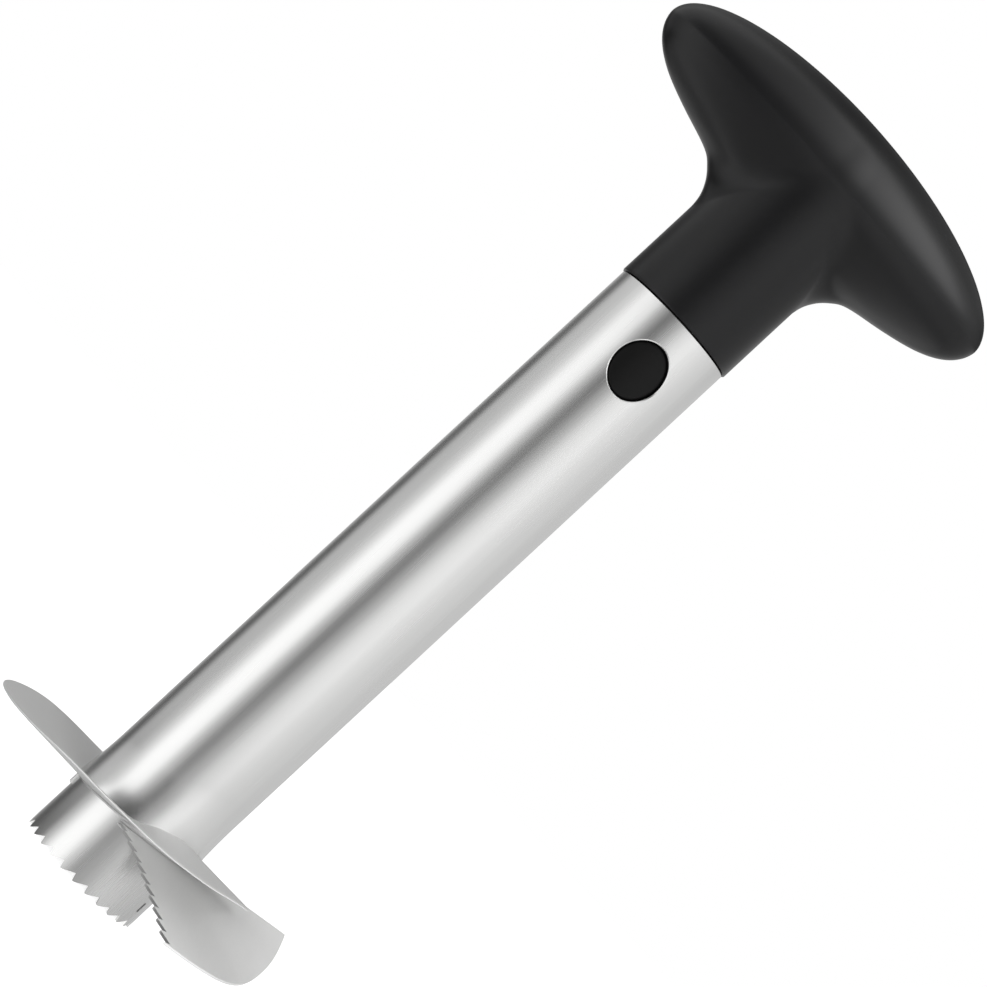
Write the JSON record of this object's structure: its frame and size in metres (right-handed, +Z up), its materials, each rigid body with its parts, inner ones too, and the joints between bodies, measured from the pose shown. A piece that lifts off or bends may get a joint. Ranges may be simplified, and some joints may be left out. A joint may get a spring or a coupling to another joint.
{
  "type": "pineapple slicer",
  "caption": "Toothed steel tube with two helical blades that cores and slices a pineapple, under a black T handle that lifts off when two side buttons are squeezed.",
  "frame": {"origin": "on the axis of the tube, level with the tips of its teeth, where the tool stands on a board", "axes": "+Z up the tube to the handle, X along the handle's bar, -Y towards the front button"},
  "size_m": [0.103, 0.085, 0.2423],
  "materials": {
    "brushed_tube": "satin brushed along the tube",
    "blade_sheet": "satin sheet with ground edges",
    "grip_black": "satin soft-touch, seamless",
    "core_plastic": "as moulded",
    "latch_plastic": "as moulded, fine grain",
    "button_black": "satin",
    "fastener_steel": "bright, lightly oiled"
  },
  "bodies": {
    "barrel": {"barrel_tube": "brushed_tube", "upper_blade": "blade_sheet", "lower_blade": "blade_sheet", "blade_collar": "blade_sheet"},
    "handle": {"grip_skin": "grip_black", "handle_core": "core_plastic", "latch_housing": "latch_plastic", "latch_end_cap": "latch_plastic", "screw_left": "fastener_steel", "screw_right": "fastener_steel", "spring_front": "fastener_steel", "spring_rear": "fastener_steel"},
    "front_button": {"button_front": "button_black"},
    "rear_button": {"button_rear": "button_black"}
  },
  "joints": [
    {"name": "handle_lift", "type": "slide", "parent": "barrel", "child": "handle", "axis": [0, 0, 1], "range_m": [0, 0.04]},
    {"name": "front_button_press", "type": "slide", "parent": "handle", "child": "front_button", "axis": [0, 1, 0], "range_m": [-0.0012, 0.0025], "stiffness_N_per_m": 600, "springref_m": -0.003, "deforming": ["spring_front"]},
    {"name": "rear_button_press", "type": "slide", "parent": "handle", "child": "rear_button", "axis": [0, -1, 0], "range_m": [-0.0012, 0.0025], "stiffness_N_per_m": 600, "springref_m": -0.003, "deforming": ["spring_rear"]}
  ]
}
